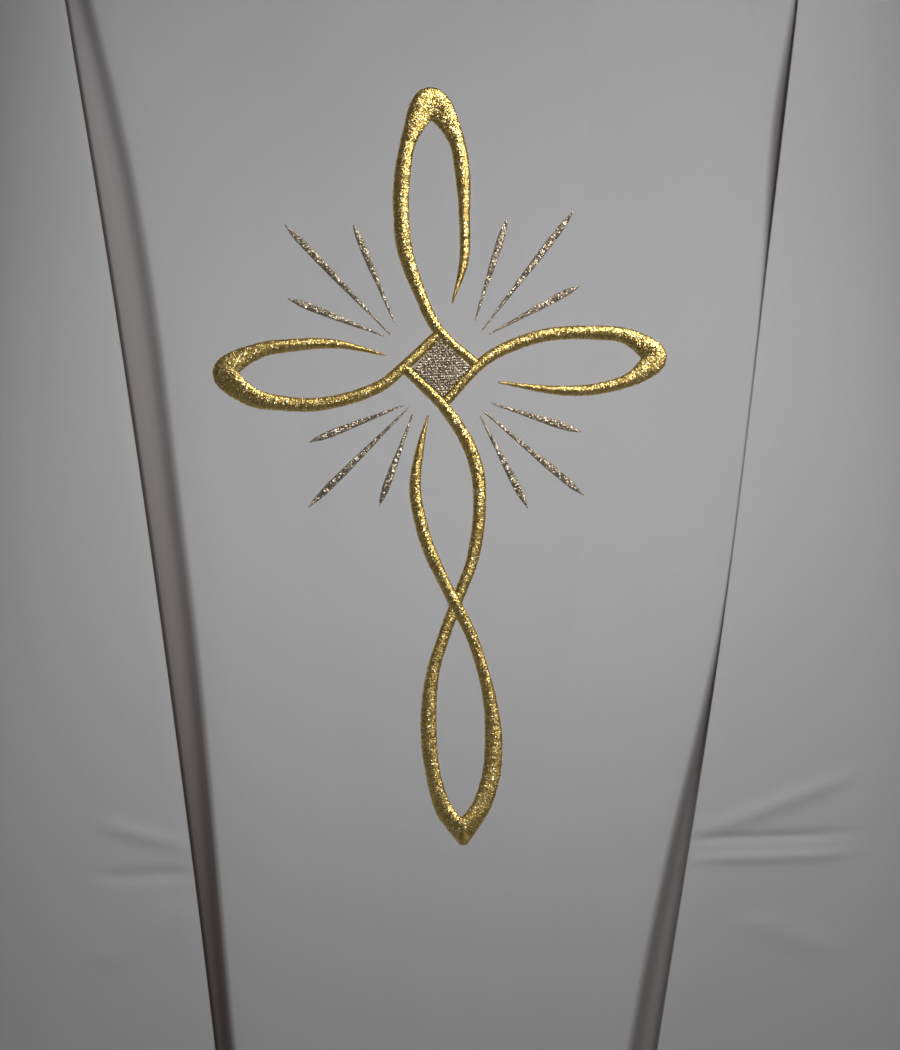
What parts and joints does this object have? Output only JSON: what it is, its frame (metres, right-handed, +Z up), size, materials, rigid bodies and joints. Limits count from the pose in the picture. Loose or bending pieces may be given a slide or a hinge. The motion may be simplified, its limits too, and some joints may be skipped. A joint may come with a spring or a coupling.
{
  "type": "chasuble",
  "caption": "Light gothic chasuble with pleated sides, shown worn with the arms down, with an embroidered looped cross and rays on the front.",
  "frame": {"origin": "midway between the two neck points, at the top of the shoulder seams", "axes": "+Z up, the wearer faces -Y, +X is towards the wearer's left side"},
  "size_m": [0.62, 0.2671, 1.3029],
  "materials": {
    "white_cloth": "smooth fine plain weave, soft sheen",
    "facing_cloth": "fine plain weave, matt",
    "gold_thread": "metallic satin stitch, glossy",
    "champagne_thread": "metallic glitter thread, laid stitch",
    "stabiliser": "matt non-woven",
    "tape": "woven narrow tape"
  },
  "bodies": {
    "garment": {"front_panel": "white_cloth", "back_panel": "white_cloth", "neck_binding": "white_cloth", "front_neck_facing": "facing_cloth", "back_neck_facing": "facing_cloth", "front_hem_facing": "facing_cloth", "back_hem_facing": "facing_cloth", "left_shoulder_tape": "tape", "right_shoulder_tape": "tape", "embroidery_backing": "stabiliser", "gold_top_stroke": "gold_thread", "gold_left_stroke": "gold_thread", "gold_right_stroke": "gold_thread", "gold_lower_stroke": "gold_thread", "diamond_fill": "champagne_thread", "ray_top_left_long": "champagne_thread", "ray_top_left_steep": "champagne_thread", "ray_top_left_flat": "champagne_thread", "ray_top_right_long": "champagne_thread", "ray_top_right_steep": "champagne_thread", "ray_top_right_flat": "champagne_thread", "ray_lower_left_long": "champagne_thread", "ray_lower_left_steep": "champagne_thread", "ray_lower_left_flat": "champagne_thread", "ray_lower_right_long": "champagne_thread", "ray_lower_right_steep": "champagne_thread", "ray_lower_right_flat": "champagne_thread"},
    "left_wing": {"left_front_side_panel": "white_cloth", "left_back_side_panel": "white_cloth", "left_front_side_hem_facing": "facing_cloth", "left_back_side_hem_facing": "facing_cloth"},
    "right_wing": {"right_front_side_panel": "white_cloth", "right_back_side_panel": "white_cloth", "right_front_side_hem_facing": "facing_cloth", "right_back_side_hem_facing": "facing_cloth"},
    "loop": {"hanger_loop": "tape"},
    "label": {"care_label": "tape"}
  },
  "joints": [
    {"name": "left_wing_lift", "type": "hinge", "parent": "garment", "child": "left_wing", "pos_m": [0.205, 0, -0.05], "axis": [0, -1, 0], "range_deg": [0, 30]},
    {"name": "right_wing_lift", "type": "hinge", "parent": "garment", "child": "right_wing", "pos_m": [-0.205, 0, -0.05], "axis": [0, 1, 0], "range_deg": [0, 30]},
    {"name": "loop_flip", "type": "hinge", "parent": "garment", "child": "loop", "pos_m": [0, 0.05756, -0.03213], "axis": [-1, 0, 0], "range_deg": [-10, 120]},
    {"name": "label_flip", "type": "hinge", "parent": "garment", "child": "label", "pos_m": [0, 0.08966, -0.08131], "axis": [-1, 0, 0], "range_deg": [-20, 100]}
  ]
}
